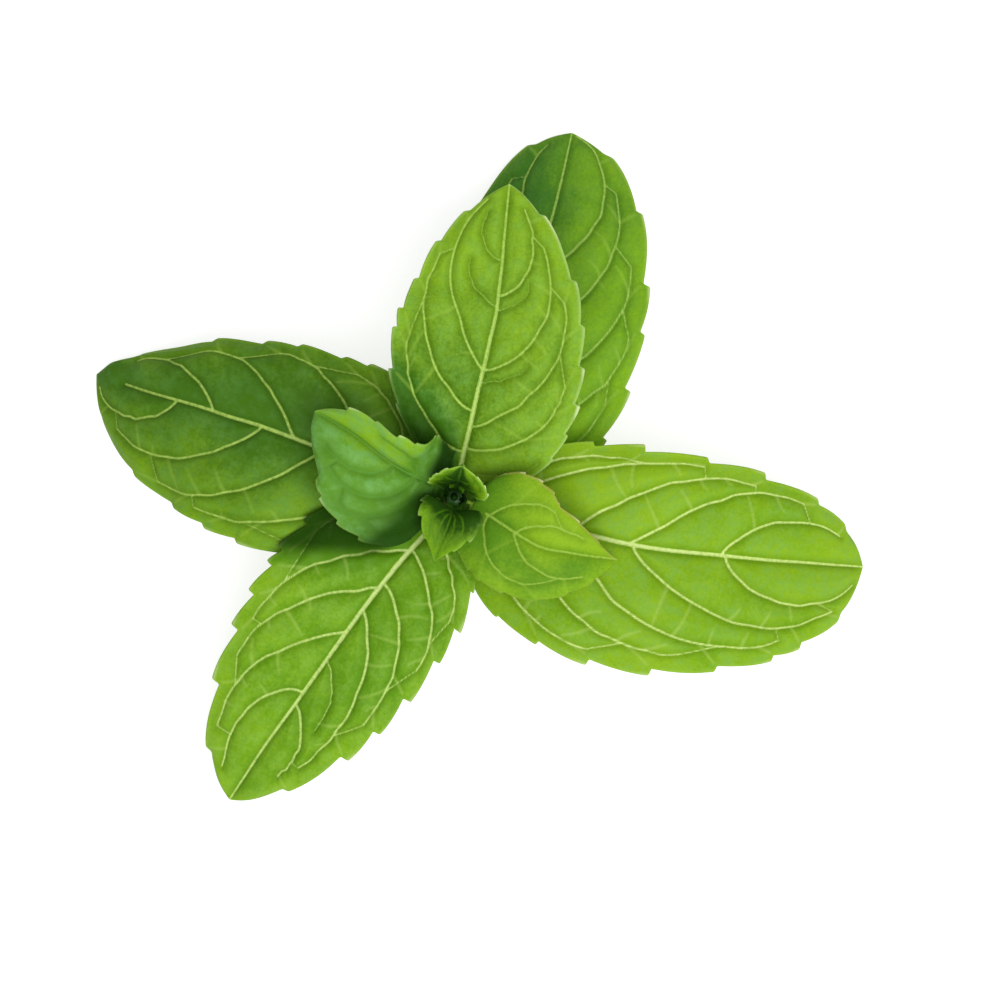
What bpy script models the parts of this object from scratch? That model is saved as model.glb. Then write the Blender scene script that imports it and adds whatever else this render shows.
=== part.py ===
"""The cut tip of a mint shoot: a short square stem that carries crossed pairs of leaves.

Every leaf is one thin toothed blade with its stalk. It is drawn as a grid in leaf terms
(share of the leaf's length, share of its half width), placed on the leaf's own curved
midrib, and given its thickness by Solidify. The stem is a lofted square rod with swollen
nodes. Metres, +Z up, the shoot rests on its cut end and on the tips of the lowest leaves.
"""
import math

import bmesh
import bpy
from mathutils import Vector

MM = 0.001

# The stem stands here, so that the middle of the whole shoot's footprint is the origin.
STEM_PLACE = (-2.5 * MM, -2.95 * MM, 0.0)

# Stem: a square rod with rounded corners, thinner towards the tip, swollen at each node.
STEM_RADIUS = 1.3 * MM
STEM_TOP_RADIUS = 0.75 * MM
STEM_HEIGHT = 14.4 * MM
STEM_SIDES = 16
STEM_SQUARENESS = 0.07
STEM_TURN = math.radians(27)
NODE_HEIGHTS = [4.5 * MM, 7.0 * MM, 10.0 * MM, 12.4 * MM, 13.8 * MM]
NODE_SWELLING = 0.12
NODE_REACH = 0.8 * MM
RING_STEP = 0.6 * MM

# Leaf blades: how the grid of each blade is laid out.
COLUMN_CROWDING = 1.4
FIRST_TOOTH = 0.04
LAST_TOOTH = 0.97
TOOTH_RISE = 0.8

# Buds: closed pointed ovals. The side buds sit in the leaf axils, flat against the stem.
TIP_BUD_LENGTH = 2.2 * MM
TIP_BUD_RADIUS = 0.6 * MM
SIDE_BUD_LENGTH = 1.5 * MM
SIDE_BUD_RADIUS = 0.4 * MM
SIDE_BUD_LIFT = 1.0 * MM
SIDE_BUD_LEAN = 0.15
BUD_FOOT = 0.25
BUD_RINGS = 8
BUD_SIDES = 10
TOUCH_GAP = 0.3 * MM

# Leaves, from the lowest pair up; all lengths in mm and angles in degrees.
# azimuth: where the leaf points, from +X. stalk: its share of the leaf and half width.
# lobe: how far the corners of the blade's heart-shaped foot reach back beside the stem.
# depth: thickness of the stalk and of the blade between its ribs.
# columns: strips across the blade, an even number. teeth: on each side.
# spine: even stations of the midrib as (out from the stem, to the leaf's left, height).
# left, right: half width, how quickly the outline narrows at the base and at the tip, and
# the half width of the blade's foot.
# fold: slope of each half, up from the midrib. curl: how far it bends on to the margin.
BIG_STALK = (0.014, 1.2)
BIG_DEPTH = (0.9, 0.35)
LEAVES = {
    "leaf_1_back": dict(
        azimuth=72, stalk=BIG_STALK, lobe=1.3, depth=BIG_DEPTH, columns=8, teeth=7, tooth=0.8,
        spine=[(1.9, 0, 4.5), (8.8, -0.1, 6), (16.2, -0.4, 6.5), (23.9, -0.6, 6), (31.4, -0.5, 4),
                (38.9, 0.2, 1)],
        left=(9.3, 0.3, 0.45, 3), fold_left=[12, 0, -12], curl_left=[-10, -12, -12],
        right=(12.4, 0.3, 0.51, 4), fold_right=[12, 8, 0], curl_right=[-10, -14, -14]),
    "leaf_2_left": dict(
        azimuth=161, stalk=BIG_STALK, lobe=1.3, depth=BIG_DEPTH, columns=8, teeth=8, tooth=0.6,
        spine=[(1.9, 0, 7), (9.2, -0.1, 9), (17.1, -0.3, 9.5), (24.8, -0.3, 8), (31.9, 0, 5),
                (38.7, 0.1, 0.3)],
        left=(11.3, 0.4, 0.55, 5), fold_left=[12, 10, 4], curl_left=[-10, -14, -20],
        right=(9.3, 0.25, 0.62, 4), fold_right=[8, 4, -6], curl_right=[-14, -20, -24]),
    "leaf_2_right": dict(
        azimuth=-10, stalk=BIG_STALK, lobe=0.3, depth=BIG_DEPTH, columns=8, teeth=8, tooth=0.8,
        spine=[(1.9, -0.6, 7), (10.3, -1.1, 9.5), (18.7, -1.6, 10), (27, -1.2, 8.5),
                (34.9, -0.5, 5.5), (42.1, 0.2, 0.3)],
        left=(9.3, 0.41, 0.57, 4), fold_left=[12, 10, 6], curl_left=[-10, -14, -12],
        right=(12, 0.3, 0.5, 4), fold_right=[12, 10, 6], curl_right=[-10, -14, -12]),
    "leaf_3_front": dict(
        azimuth=232, stalk=BIG_STALK, lobe=0.6, depth=BIG_DEPTH, columns=8, teeth=8, tooth=0.8,
        spine=[(1.8, 0.2, 10), (8.8, -0.3, 11.5), (16.4, -0.3, 11), (24.1, 0.1, 8.5),
                (31.5, 0.3, 5), (38.5, 0.8, 0.3)],
        left=(8.6, 0.36, 0.66, 5), fold_left=[12, 10, 6], curl_left=[-10, -14, -12],
        right=(9.6, 0.36, 0.62, 3), fold_right=[-6, 10, 6], curl_right=[-10, -14, -12]),
    "leaf_3_back": dict(
        azimuth=80, stalk=BIG_STALK, lobe=0.8, depth=BIG_DEPTH, columns=8, teeth=8, tooth=0.6,
        spine=[(1.8, 0, 10), (7.2, -0.3, 12.2), (13, -0.6, 13.6), (19, -0.9, 14.4),
                (25.1, -0.5, 14.6), (31.3, 0, 14)],
        left=(9.1, 0.65, 0.78, 2), fold_left=[12, 8, 4], curl_left=[-10, -14, -12],
        right=(9.5, 0.36, 0.71, 4.5), fold_right=[12, 8, 4], curl_right=[-10, -14, -12]),
    "leaf_4_left": dict(
        azimuth=148, stalk=(0.02, 1.0), lobe=0.4, depth=(0.6, 0.3), columns=8, teeth=8, tooth=0.5,
        spine=[(1.6, -0.1, 12.4), (4.6, 0.4, 13.9), (7.8, 0.4, 14.9), (11.9, 0, 15.5), (16.1, 0.1, 15)],
        left=(8.1, 0.34, 0.6, 4), fold_left=[24, 20, 14, 8], curl_left=[-40, -50, -36],
        right=(4.4, 0.3, 0.8, 4), fold_right=[10, 16, 24, 56, 62, 60, 50, 40, 30], curl_right=[-20, -20, -16]),
    "leaf_4_right": dict(
        azimuth=-20, stalk=(0.02, 1.0), lobe=0.5, depth=(0.6, 0.3), columns=8, teeth=8, tooth=0.4,
        spine=[(1.6, 0, 12.4), (5.3, -0.9, 13.7), (9.4, -1.7, 14.2), (13.5, -1.1, 13.6),
                (17.3, -0.3, 12)],
        left=(5.7, 0.5, 1.2, 2), fold_left=[28, 26, 18], curl_left=[-25, -30, -20],
        right=(5.8, 0.4, 0.81, 4), fold_right=[8, 10, 8], curl_right=[-20, -24, -16]),
    "leaf_5_front": dict(
        azimuth=252, stalk=(0.04, 0.8), lobe=0.6, depth=(0.4, 0.25), columns=6, teeth=4, tooth=0.3,
        spine=[(1.2, 0.3, 13.8), (2.6, 0.3, 14.9), (4.6, 0.2, 15.1), (6.7, 0.1, 14.1)],
        left=(3, 0.2, 1, 2.6), fold_left=[36, 22, 10], curl_left=[-30, -30, -20],
        right=(3.2, 0.2, 1, 3), fold_right=[36, 22, 10], curl_right=[-30, -30, -20]),
    "leaf_5_back": dict(
        azimuth=75, stalk=(0.04, 0.8), lobe=0.0, depth=(0.4, 0.25), columns=6, teeth=4, tooth=0.25,
        spine=[(1.3, 0, 13.8), (1.7, 0, 15.2), (2.3, 0, 16.5), (3.1, 0, 17.5)],
        left=(2.9, 0.3, 0.9, 1.6), fold_left=[22, 16, 8], curl_left=[0, 0, 0],
        right=(3.2, 0.25, 0.85, 2.4), fold_right=[28, 12, 2], curl_right=[0, 0, 0]),
    "leaf_6_left": dict(
        azimuth=162, stalk=(0.12, 0.2), lobe=0.0, depth=(0.25, 0.2), columns=4, teeth=2, tooth=0.05,
        spine=[(0.9, 0, 14.8), (0.95, 0, 15.4), (1, 0, 16), (1.1, 0, 16.6)],
        left=(0.7, 0.4, 0.7, 0.3), fold_left=[30, 30, 20], curl_left=[10, 10, 10],
        right=(0.7, 0.4, 0.7, 0.3), fold_right=[30, 30, 20], curl_right=[10, 10, 10]),
    "leaf_6_right": dict(
        azimuth=-18, stalk=(0.12, 0.2), lobe=0.0, depth=(0.25, 0.2), columns=4, teeth=2, tooth=0.05,
        spine=[(0.9, 0, 14.8), (0.95, 0, 15.3), (1, 0, 15.8), (1.1, 0, 16.3)],
        left=(0.6, 0.4, 0.7, 0.3), fold_left=[30, 30, 20], curl_left=[10, 10, 10],
        right=(0.6, 0.4, 0.7, 0.3), fold_right=[30, 30, 20], curl_right=[10, 10, 10]),
}

# Side buds: the leaf whose axil each one sits in.
AXIL_LEAVES = ["leaf_1_back", "leaf_2_left", "leaf_2_right", "leaf_3_front", "leaf_3_back"]

# Colours, linear RGB, and how matt each finish is.
LEAF_COLOURS = {
    "leaf_1_back": (0.13, 0.30, 0.020),
    "leaf_2_left": (0.10, 0.23, 0.025),
    "leaf_2_right": (0.26, 0.49, 0.040),
    "leaf_3_front": (0.21, 0.43, 0.035),
    "leaf_3_back": (0.19, 0.40, 0.035),
    "leaf_4_left": (0.13, 0.31, 0.050),
    "leaf_4_right": (0.24, 0.45, 0.030),
}
YOUNG_LEAF_COLOUR = (0.09, 0.22, 0.015)
STEM_COLOUR = (0.24, 0.38, 0.060)
BUD_COLOUR = (0.08, 0.20, 0.012)
LEAF_ROUGHNESS = 0.5
STEM_ROUGHNESS = 0.45
SMOOTH_ANGLE = math.radians(40)


def clear_scene():
    """Start from nothing."""
    for old in list(bpy.data.objects):
        bpy.data.objects.remove(old)


def along(stations, share):
    """Read a value or point at a share (0 to 1) of even stations, on a smooth curve."""
    points = [Vector(s if isinstance(s, tuple) else (s, 0, 0)) for s in stations]
    points = [2 * points[0] - points[1]] + points + [2 * points[-1] - points[-2]]
    place = min(max(share, 0.0), 1.0) * (len(stations) - 1)
    span = min(int(place), len(stations) - 2)
    t = place - span
    a, b, c, d = points[span:span + 4]
    return 0.5 * (2 * b + (c - a) * t + (2 * a - 5 * b + 4 * c - d) * t ** 2
                  + (3 * b - a - 3 * c + d) * t ** 3)


def midrib_point(leaf, share):
    """Point of the midrib, in metres from the foot of the stem."""
    out, sideways, height = along(leaf["spine"], share)
    turn = math.radians(leaf["azimuth"])
    return MM * Vector((out * math.cos(turn) - sideways * math.sin(turn),
                        out * math.sin(turn) + sideways * math.cos(turn), height))


def half_outline(half, share):
    """Half width of the blade without its teeth, at a share of the blade's length."""
    width, base, tip, foot = half
    widest = base / (base + tip)
    height = share ** base * (1 - share) ** tip
    bulge = width * height / (widest ** base * (1 - widest) ** tip)
    return MM * (bulge ** 6 + (foot * (1 - share) ** 3) ** 6) ** (1 / 6)


def blade_point(leaf, share, side, reach, across):
    """Point of the upper face. side is left or right, reach the half width here, across
    the share of it that lies between the midrib and the point."""
    step = 0.001
    middle = midrib_point(leaf, share)
    forward = midrib_point(leaf, min(share + step, 1)) - midrib_point(leaf, max(share - step, 0))
    forward.normalize()
    sideways = Vector((0, 0, 1)).cross(forward).normalized()
    upward = forward.cross(sideways)
    fold = math.radians(along(leaf["fold_" + side], share).x)
    curl = math.radians(along(leaf["curl_" + side], share).x)
    bend = fold + curl * across
    spread = reach * across
    if abs(curl) > 1e-4:
        run = reach / curl * (math.sin(bend) - math.sin(fold))
        rise = reach / curl * (math.cos(fold) - math.cos(bend))
    else:
        run = spread * math.cos(fold)
        rise = spread * math.sin(fold)
    if side == "right":
        run = -run
    outer = min(spread / (MM * leaf[side][3]), 1)
    lobe = MM * leaf["lobe"] * outer ** 2 * (1 - share) ** 8
    return middle + sideways * run + upward * rise - forward * lobe


def tooth_rows(leaf):
    """Rows of the blade as (share of the blade, how far up its tooth): each tooth climbs
    slowly from its notch to its point, then drops back to the next notch."""
    rows = [(0.0, 0.0)]
    span = (LAST_TOOTH - FIRST_TOOTH) / leaf["teeth"]
    for number in range(leaf["teeth"]):
        notch = FIRST_TOOTH + number * span
        rows.append((notch, 0.0))
        rows.append((notch + TOOTH_RISE * span, 1.0))
    return rows + [(LAST_TOOTH, 0.0), (1.0, 0.0)]


def leaf_mesh(name, leaf):
    """Grid of one leaf's upper face with, for each point, its share of the full depth."""
    stalk_share, stalk_half = leaf["stalk"]
    stalk_depth, blade_depth = leaf["depth"]
    blade_rows = tooth_rows(leaf)
    rows = [(0.0, None), (stalk_share / 2, None)]
    rows += [(stalk_share + (1 - stalk_share) * share, (share, tooth)) for share, tooth in blade_rows]
    thin = blade_depth / stalk_depth
    mesh = bmesh.new()
    bmesh.ops.create_grid(mesh, x_segments=len(rows) - 1, y_segments=leaf["columns"], size=1)
    depths = mesh.verts.layers.deform.verify()
    for point in mesh.verts:
        share, blade = rows[round((point.co.x + 1) / 2 * (len(rows) - 1))]
        side = "left" if point.co.y >= 0 else "right"
        across = abs(point.co.y) ** COLUMN_CROWDING
        reach = MM * stalk_half
        depth = 1.0
        if blade:
            blade_share, tooth = blade
            reach = max(reach * (1 - blade_share), half_outline(leaf[side], blade_share))
            if across == 1:
                across += tooth * leaf["tooth"] / leaf[side][0]
            depth = max(thin, 1 - blade_share) if across == 0 else thin
        point.co = blade_point(leaf, share, side, reach, across)
        point[depths][0] = depth
    bmesh.ops.remove_doubles(mesh, verts=mesh.verts, dist=0.001 * MM)
    data = bpy.data.meshes.new(name)
    mesh.to_mesh(data)
    mesh.free()
    return data


def add_object(name, data, place, material):
    """Put a mesh into the scene under the shoot, shaded smooth up to sharp edges."""
    part = bpy.data.objects.new(name, data)
    bpy.context.collection.objects.link(part)
    part.parent = place
    data.materials.append(material)
    data.shade_smooth()
    data.set_sharp_from_angle(angle=SMOOTH_ANGLE)
    return part


def finish_material(name, colour, roughness):
    """Plain finish of one piece."""
    material = bpy.data.materials.new(name)
    material.use_nodes = True
    shader = material.node_tree.nodes["Principled BSDF"]
    shader.inputs["Base Color"].default_value = (*colour, 1)
    shader.inputs["Roughness"].default_value = roughness
    shader.inputs["Metallic"].default_value = 0
    return material


def add_leaf(name, leaf, place):
    """One leaf: its upper face, thickened downwards to blade, ribs and stalk."""
    colour = LEAF_COLOURS.get(name, YOUNG_LEAF_COLOUR)
    part = add_object(name, leaf_mesh(name, leaf), place, finish_material(name, colour, LEAF_ROUGHNESS))
    depth = part.vertex_groups.new(name="depth")
    solid = part.modifiers.new("thickness", "SOLIDIFY")
    solid.thickness = MM * leaf["depth"][0]
    solid.offset = -1
    solid.vertex_group = depth.name


def loft(name, rings):
    """Closed body through rings of points, with a flat cap on each end."""
    mesh = bmesh.new()
    loops = []
    for ring in rings:
        points = [mesh.verts.new(point) for point in ring]
        loops.append([mesh.edges.new((points[i - 1], points[i])) for i in range(len(points))])
    for lower, upper in zip(loops, loops[1:]):
        bmesh.ops.bridge_loops(mesh, edges=lower + upper)
    bmesh.ops.contextual_create(mesh, geom=loops[0])
    bmesh.ops.contextual_create(mesh, geom=loops[-1])
    bmesh.ops.recalc_face_normals(mesh, faces=mesh.faces)
    data = bpy.data.meshes.new(name)
    mesh.to_mesh(data)
    mesh.free()
    return data


def stem_radius(height):
    """Radius of the stem, with a soft swelling where each pair of leaves stands."""
    radius = STEM_RADIUS + (STEM_TOP_RADIUS - STEM_RADIUS) * (height / STEM_HEIGHT) ** 2
    swelling = sum(math.exp(-((height - node) / NODE_REACH) ** 2) for node in NODE_HEIGHTS)
    return radius * (1 + NODE_SWELLING * swelling)


def stem_ring(height):
    """Rounded square cross-section of the stem."""
    points = []
    for number in range(STEM_SIDES):
        angle = math.tau * number / STEM_SIDES
        radius = stem_radius(height) * (1 + STEM_SQUARENESS * math.cos(4 * angle))
        points.append((radius * math.cos(angle + STEM_TURN), radius * math.sin(angle + STEM_TURN), height))
    return points


def add_stem(place):
    """The stem, cut square at its foot."""
    count = round(STEM_HEIGHT / RING_STEP)
    rings = [stem_ring(STEM_HEIGHT * number / count) for number in range(count + 1)]
    add_object("stem", loft("stem", rings), place, finish_material("stem", STEM_COLOUR, STEM_ROUGHNESS))


def add_bud(name, foot, lean, length, radius, place):
    """A pointed oval bud that grows from its foot along lean."""
    axis = lean.normalized()
    sideways = axis.orthogonal().normalized()
    third = axis.cross(sideways)
    rings = []
    for number in range(BUD_RINGS + 1):
        share = number / BUD_RINGS
        plump = math.sin(math.pi * min(share * 1.1 + 0.15, 1)) ** 0.7
        width = radius * (BUD_FOOT + (1 - BUD_FOOT) * plump)
        ring = []
        for side in range(BUD_SIDES):
            angle = math.tau * side / BUD_SIDES
            spoke = sideways * math.cos(angle) + third * math.sin(angle)
            ring.append(foot + axis * length * share + spoke * width)
        rings.append(ring)
    add_object(name, loft(name, rings), place, finish_material(name, BUD_COLOUR, LEAF_ROUGHNESS))


def add_side_bud(leaf_name, place):
    """The bud in one leaf's axil, a touch clear of the stem and of the stalk."""
    foot = midrib_point(LEAVES[leaf_name], 0)
    outward = Vector((foot.x, foot.y, 0)).normalized()
    height = foot.z + SIDE_BUD_LIFT
    reach = stem_radius(foot.z) * (1 + STEM_SQUARENESS) + TOUCH_GAP + SIDE_BUD_RADIUS
    place_of_foot = outward * reach + Vector((0, 0, height))
    lean = Vector((0, 0, 1)) + outward * SIDE_BUD_LEAN
    add_bud("bud_of_" + leaf_name, place_of_foot, lean, SIDE_BUD_LENGTH, SIDE_BUD_RADIUS, place)


def build():
    """The whole shoot."""
    clear_scene()
    shoot = bpy.data.objects.new("shoot", None)
    shoot.location = STEM_PLACE
    bpy.context.collection.objects.link(shoot)
    add_stem(shoot)
    for name, leaf in LEAVES.items():
        add_leaf(name, leaf, shoot)
    for name in AXIL_LEAVES:
        add_side_bud(name, shoot)
    foot = Vector((0, 0, STEM_HEIGHT + TOUCH_GAP))
    add_bud("tip_bud", foot, Vector((0, 0, 1)), TIP_BUD_LENGTH, TIP_BUD_RADIUS, shoot)


build()
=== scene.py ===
"""The cut tip of a mint shoot: a square stem with crossed pairs of toothed, veined leaves."""
import math

import bpy
import numpy as np
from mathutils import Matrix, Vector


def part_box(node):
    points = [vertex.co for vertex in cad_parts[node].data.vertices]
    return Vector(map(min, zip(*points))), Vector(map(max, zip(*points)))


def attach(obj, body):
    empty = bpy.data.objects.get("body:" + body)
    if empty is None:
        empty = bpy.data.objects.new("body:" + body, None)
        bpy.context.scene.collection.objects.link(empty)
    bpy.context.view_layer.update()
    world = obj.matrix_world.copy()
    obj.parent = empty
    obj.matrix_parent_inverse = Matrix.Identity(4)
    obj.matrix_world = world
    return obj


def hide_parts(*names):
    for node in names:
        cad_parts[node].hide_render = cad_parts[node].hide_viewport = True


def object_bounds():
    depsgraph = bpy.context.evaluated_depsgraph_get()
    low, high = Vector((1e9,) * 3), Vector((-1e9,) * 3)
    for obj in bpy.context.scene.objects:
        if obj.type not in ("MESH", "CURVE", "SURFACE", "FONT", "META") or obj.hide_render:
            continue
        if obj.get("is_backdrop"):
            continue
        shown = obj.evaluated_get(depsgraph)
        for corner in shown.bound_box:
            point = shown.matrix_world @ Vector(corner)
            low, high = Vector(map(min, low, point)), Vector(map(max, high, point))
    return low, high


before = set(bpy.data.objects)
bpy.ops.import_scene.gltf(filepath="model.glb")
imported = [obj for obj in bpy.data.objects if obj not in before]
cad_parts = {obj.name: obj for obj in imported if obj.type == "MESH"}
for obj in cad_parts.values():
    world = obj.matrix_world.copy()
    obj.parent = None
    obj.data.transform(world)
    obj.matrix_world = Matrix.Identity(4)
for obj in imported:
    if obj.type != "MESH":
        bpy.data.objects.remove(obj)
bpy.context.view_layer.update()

# ------------------------------------------------
# The stem: a juicy square rod with rounded corners and a shallow groove along each side.
# It swells where each pair of leaves stands and is cut straight across at its foot. Low
# down, a small ring marks where one of the two lowest leaves was picked off.

# Lengths are in mm, and MM turns them into metres.
MM = 0.001
stem_low, stem_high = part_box("stem")
STEM_X = (stem_low.x + stem_high.x) / 2
STEM_Y = (stem_low.y + stem_high.y) / 2
STEM_HEIGHT = stem_high.z / MM
STEM_RADIUS = 1.3
STEM_TOP_RADIUS = 0.75
STEM_SIDES = 96
STEM_RINGS = 110
STEM_TURN = math.radians(27)
STEM_SQUARENESS = 0.07
STEM_DOME = 0.7
CUT_EDGE = 0.25
SIDE_GROOVE = 0.03
FINE_RIBS = 28
NODE_HEIGHTS = (4.5, 7.0, 10.0, 12.4, 13.8)
NODE_SWELLING = 0.12
NODE_REACH = 0.8
SCAR_AZIMUTH = math.radians(252)
SCAR_HEIGHT = 4.5
SCAR_RADIUS = 0.62
SCAR_LIP = 0.22
SCAR_LIP_WIDTH = 0.17
SCAR_PAD = 0.1

bpy.ops.object.select_all(action="DESELECT")
bpy.ops.mesh.primitive_circle_add(
    vertices=STEM_SIDES, radius=MM, fill_type="NOTHING", location=(0, 0, 0)
)
stem = bpy.context.object
stem.name = "square_stem"
bpy.ops.object.mode_set(mode="EDIT")
bpy.ops.mesh.select_all(action="SELECT")
for ring in range(STEM_RINGS):
    bpy.ops.mesh.extrude_region_move(
        TRANSFORM_OT_translate={"value": (0, 0, MM * STEM_HEIGHT / STEM_RINGS)}
    )
bpy.ops.mesh.edge_face_add()
bpy.ops.mesh.poke()
bpy.ops.mesh.select_all(action="DESELECT")
bpy.ops.object.mode_set(mode="OBJECT")
for edge in stem.data.edges:
    edge.select = all(stem.data.vertices[i].co.z < 0.01 * MM for i in edge.vertices)
bpy.context.tool_settings.mesh_select_mode = (False, True, False)
bpy.ops.object.mode_set(mode="EDIT")
bpy.ops.mesh.edge_face_add()
bpy.ops.mesh.inset(thickness=CUT_EDGE * MM)
bpy.ops.mesh.poke()
bpy.ops.mesh.select_all(action="SELECT")
bpy.ops.mesh.normals_make_consistent(inside=False)
bpy.ops.object.mode_set(mode="OBJECT")


def read_points(mesh):
    """Every point of a mesh, in mm, as rows of x, y and z."""
    flat = np.empty(len(mesh.vertices) * 3, np.float32)
    mesh.vertices.foreach_get("co", flat)
    return flat.reshape(-1, 3).astype(float) / MM


def write_points(mesh, points):
    """Move every point of a mesh to rows of x, y and z in mm."""
    mesh.vertices.foreach_set("co", (points * MM).astype(np.float32).ravel())
    mesh.update()


def store(mesh, name, values):
    """Keep one number, or one x, y, z row, for every point of a mesh under a name."""
    kind = "FLOAT" if values.ndim == 1 else "FLOAT_VECTOR"
    layer = mesh.attributes.new(name, kind, "POINT")
    part = "value" if values.ndim == 1 else "vector"
    layer.data.foreach_set(part, values.astype(np.float32).ravel())


points = read_points(stem.data)
angle = np.arctan2(points[:, 1], points[:, 0])
height = points[:, 2]
spread = np.hypot(points[:, 0], points[:, 1])
radius = STEM_RADIUS + (STEM_TOP_RADIUS - STEM_RADIUS) * (height / STEM_HEIGHT) ** 2
for node_height in NODE_HEIGHTS:
    radius *= 1 + NODE_SWELLING * np.exp(-(((height - node_height) / NODE_REACH) ** 2))
corner = np.cos(4 * (angle - STEM_TURN))
groove = np.exp(-(((corner + 1) / 0.25) ** 2))
radius *= 1 + STEM_SQUARENESS * corner - SIDE_GROOVE * groove
radius *= 1 + 0.006 * np.sin(FINE_RIBS * angle + 0.5 * np.sin(1.3 * height))
radius *= 1 + 0.012 * np.sin(2 * angle + 0.9 * height) * np.sin(1.7 * height)
turn = (angle - SCAR_AZIMUTH + math.pi) % (2 * math.pi) - math.pi
scar_distance = np.hypot(turn * radius, (height - SCAR_HEIGHT) * 1.15)
scar_ring = np.exp(-(((scar_distance - SCAR_RADIUS) / SCAR_LIP_WIDTH) ** 2))
scar_face = np.clip(1.3 - scar_distance / SCAR_RADIUS, 0, 1)
radius += SCAR_LIP * scar_ring + SCAR_PAD * scar_face
dome = np.clip((height - STEM_HEIGHT + STEM_DOME) / STEM_DOME, 0, 1)
radius *= np.sqrt(1 - 0.8 * dome**2)
points[:, 0] = spread * radius * np.cos(angle)
points[:, 1] = spread * radius * np.sin(angle)
write_points(stem.data, points + np.array([STEM_X, STEM_Y, 0]) / MM)
store(stem.data, "scar", np.maximum(scar_face, 0.6 * scar_ring))
bpy.ops.object.shade_smooth_by_angle(angle=math.radians(50))


def new_finish(name):
    """A new material, with its tree of nodes and its shader."""
    finish = bpy.data.materials.new(name)
    finish.use_nodes = True
    return finish, finish.node_tree, finish.node_tree.nodes["Principled BSDF"]


def fade(tree, value, start, end):
    """A soft step from 0 where the value is at start to 1 where it is at end."""
    node = tree.nodes.new("ShaderNodeMapRange")
    node.interpolation_type = "SMOOTHSTEP"
    node.inputs["From Min"].default_value = start
    node.inputs["From Max"].default_value = end
    tree.links.new(value, node.inputs["Value"])
    return node.outputs["Result"]


def figure(tree, operation, first, second, third=None):
    """One sum on two or three numbers, each of them plain or a socket."""
    node = tree.nodes.new("ShaderNodeMath")
    node.operation = operation
    for given, socket in zip((first, second, third), node.inputs):
        if isinstance(given, bpy.types.NodeSocket):
            tree.links.new(given, socket)
        elif given is not None:
            socket.default_value = given
    return node.outputs[0]


def product(tree, first, second, added=0.0):
    """Two numbers multiplied, with a third added, each of them plain or a socket."""
    return figure(tree, "MULTIPLY_ADD", first, second, added)


def blend(tree, share, under, over):
    """One colour laid over another by a share, each of them plain or a socket."""
    node = tree.nodes.new("ShaderNodeMix")
    node.data_type = "RGBA"
    sockets = (node.inputs[0], node.inputs[6], node.inputs[7])
    for given, socket in zip((share, under, over), sockets):
        if isinstance(given, bpy.types.NodeSocket):
            tree.links.new(given, socket)
        else:
            socket.default_value = given
    return node.outputs[2]


def noise(tree, place, scale, detail=2):
    """Soft cloudy noise, from 0 to 1."""
    node = tree.nodes.new("ShaderNodeTexNoise")
    node.inputs["Scale"].default_value = scale
    node.inputs["Detail"].default_value = detail
    tree.links.new(place, node.inputs["Vector"])
    return node.outputs["Fac"]


def field(tree, name):
    """A number or vector kept on the mesh under a name."""
    node = tree.nodes.new("ShaderNodeAttribute")
    node.attribute_name = name
    return node


def rough_skin(tree, shader, height, distance):
    """Let a height field raise the surface of a shader by a distance in metres."""
    bump = tree.nodes.new("ShaderNodeBump")
    bump.inputs["Distance"].default_value = distance
    tree.links.new(height, bump.inputs["Height"])
    tree.links.new(bump.outputs["Normal"], shader.inputs["Normal"])


STEM_GREEN = (0.20, 0.36, 0.045, 1)
STEM_PALE = (0.38, 0.52, 0.12, 1)
STEM_DARK = (0.10, 0.22, 0.02, 1)
STEM_PAINTED_SHADE = (0.008, 0.04, 0.002, 1)
STEM_BLUSH = (0.20, 0.13, 0.05, 1)
STEM_CUT = (0.55, 0.62, 0.25, 1)

stem_finish, tree, shader = new_finish("juicy stem skin")
where = tree.nodes.new("ShaderNodeTexCoord").outputs["Object"]
stretch = tree.nodes.new("ShaderNodeMapping")
stretch.inputs["Scale"].default_value = (1, 1, 0.12)
tree.links.new(where, stretch.inputs["Vector"])
streaks = noise(tree, stretch.outputs["Vector"], 3200, 3)
patches = noise(tree, where, 420, 3)
grain = noise(tree, where, 5200)
colour = blend(tree, fade(tree, streaks, 0.3, 0.7), STEM_GREEN, STEM_PALE)
colour = blend(tree, fade(tree, patches, 0.5, 0.75), colour, STEM_DARK)
blush = product(tree, fade(tree, patches, 0.42, 0.3), 0.35)
colour = blend(tree, blush, colour, STEM_BLUSH)
colour = blend(tree, field(tree, "scar").outputs["Fac"], colour, STEM_CUT)
split = tree.nodes.new("ShaderNodeSeparateXYZ")
tree.links.new(where, split.inputs["Vector"])
# Painted shade: the upper stem, among the crowded leaves, darkens to near-black green.
painted_shade_between_leaves = fade(tree, split.outputs["Z"], 0.6 * STEM_HEIGHT * MM, 0.9 * STEM_HEIGHT * MM)
colour = blend(tree, painted_shade_between_leaves, colour, STEM_PAINTED_SHADE)
colour = blend(tree, fade(tree, split.outputs["Z"], 0.25 * MM, 0.02 * MM), colour, STEM_CUT)
tree.links.new(colour, shader.inputs["Base Color"])
tree.links.new(product(tree, grain, 0.25, 0.33), shader.inputs["Roughness"])
rough_skin(tree, shader, product(tree, grain, 0.3, streaks), 0.05 * MM)
stem.data.materials.append(stem_finish)


def settle(piece, node):
    """The piece moves with the shoot and stands for one plain solid."""
    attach(piece, "root")
    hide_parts(node)


settle(stem, "stem")

# ------------------------------------------------
# The lowest leaf, at the back: a thin soft blade on a short channelled stalk. Its edge has
# forward-pointing teeth, its veins lie in fine grooves, and the skin between them swells.
# Its partner in front was picked, so it is the only leaf of its pair.

# Share of the blade in which its outline narrows to the point.
TIP_POINT = 0.012
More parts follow.
